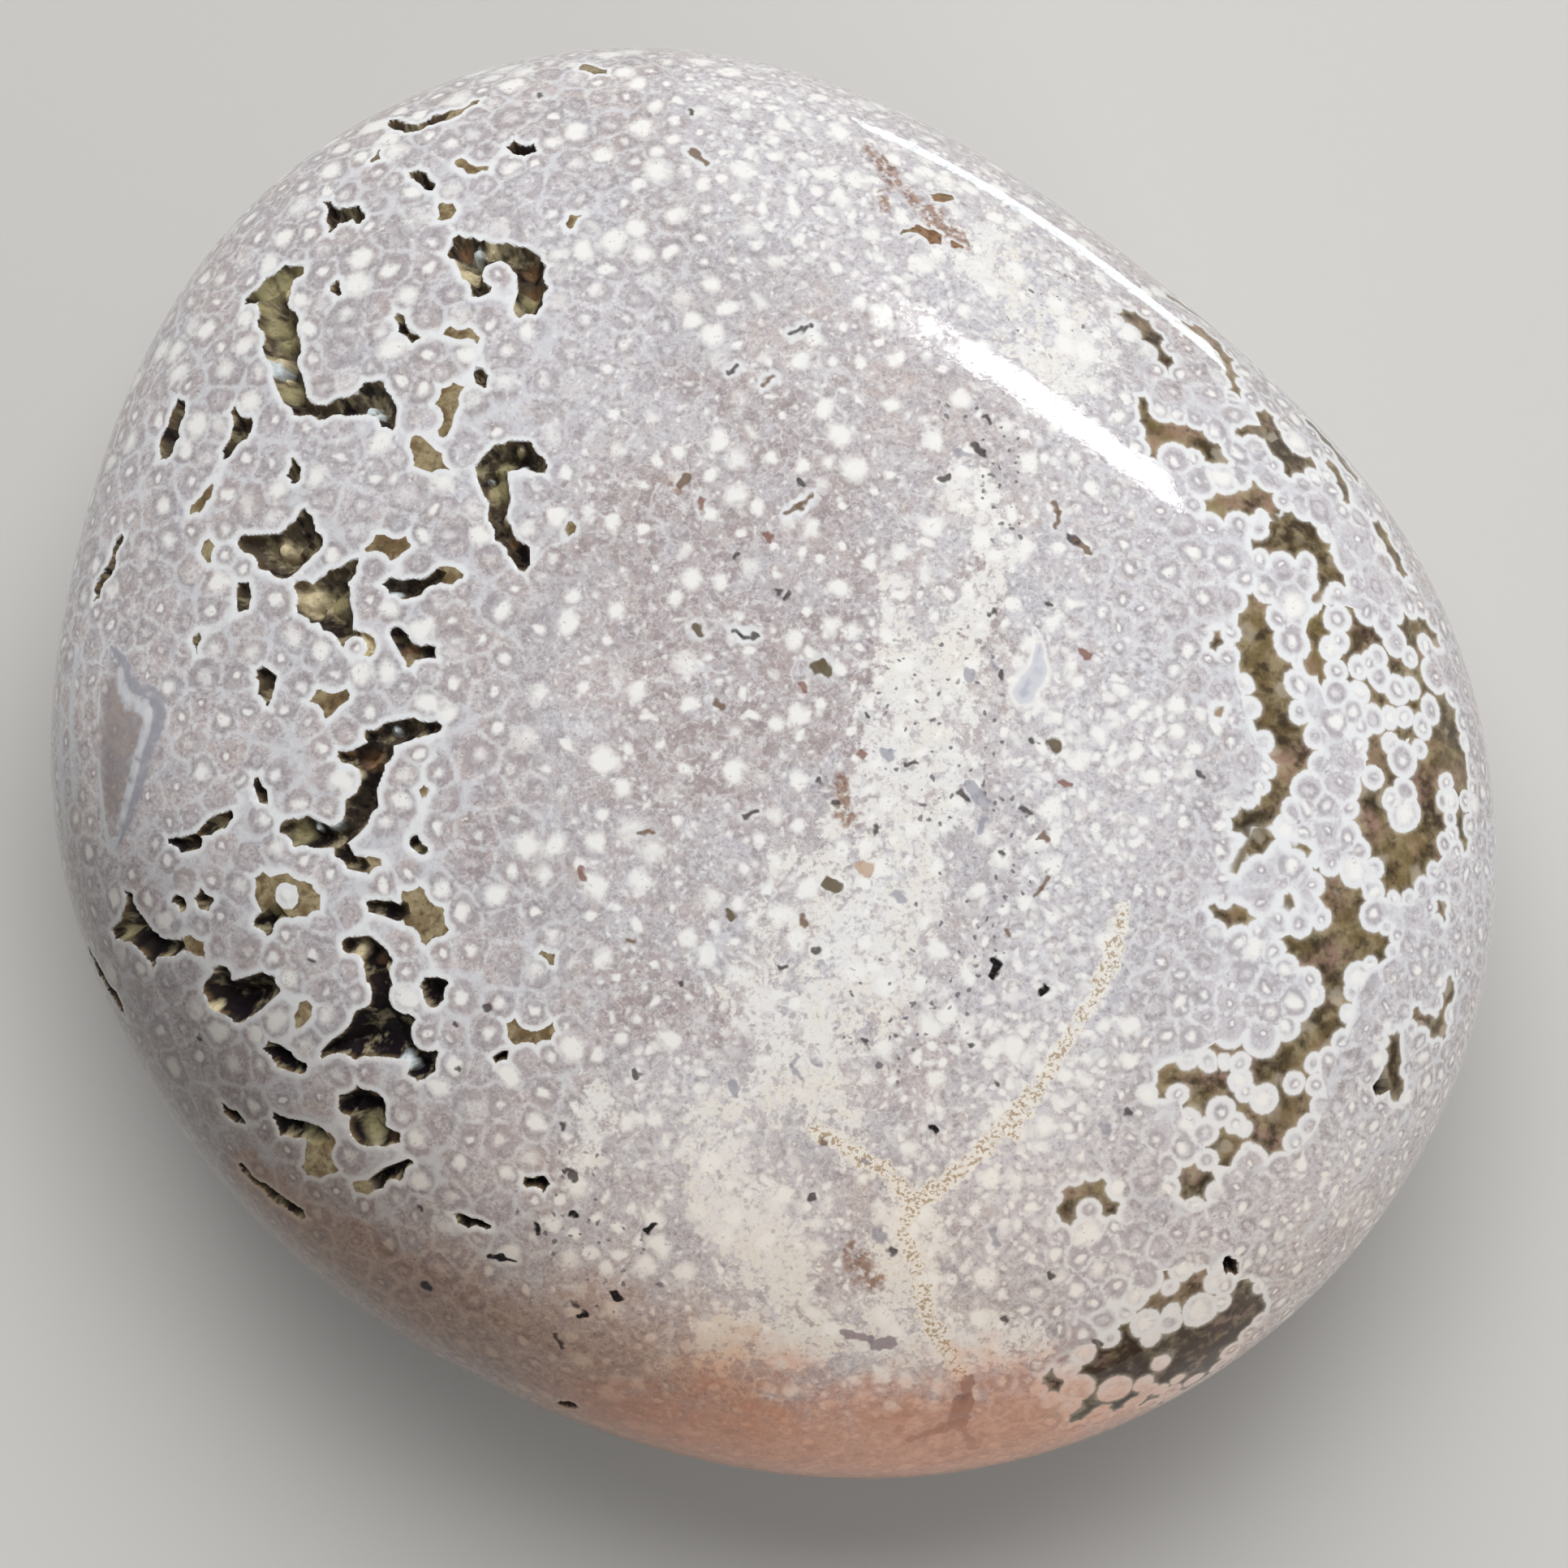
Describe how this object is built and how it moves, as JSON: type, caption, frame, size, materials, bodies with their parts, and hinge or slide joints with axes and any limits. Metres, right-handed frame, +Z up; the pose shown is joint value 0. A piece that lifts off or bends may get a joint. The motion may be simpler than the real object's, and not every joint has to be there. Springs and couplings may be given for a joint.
{
  "type": "ocean jasper palm stone",
  "caption": "Polished orbicular jasper palm stone, a rounded flattened pebble with small open vugs in its broad face, to hold in the hand or lay on its flat underside.",
  "frame": {"origin": "middle of the bounding box, on the flat of the underside", "axes": "+Z up through the broad polished face, which is the stone's thickness; +X to the right and +Y up the picture, across the face"},
  "size_m": [0.0584, 0.0581, 0.024],
  "materials": {
    "polished_jasper": "high polish over lavender-grey orbs with white rims, cream patches, tan veins, olive-brown translucent windows and dark open vugs"
  },
  "bodies": {
    "root": {"palm_stone": "polished_jasper"}
  },
  "joints": []
}
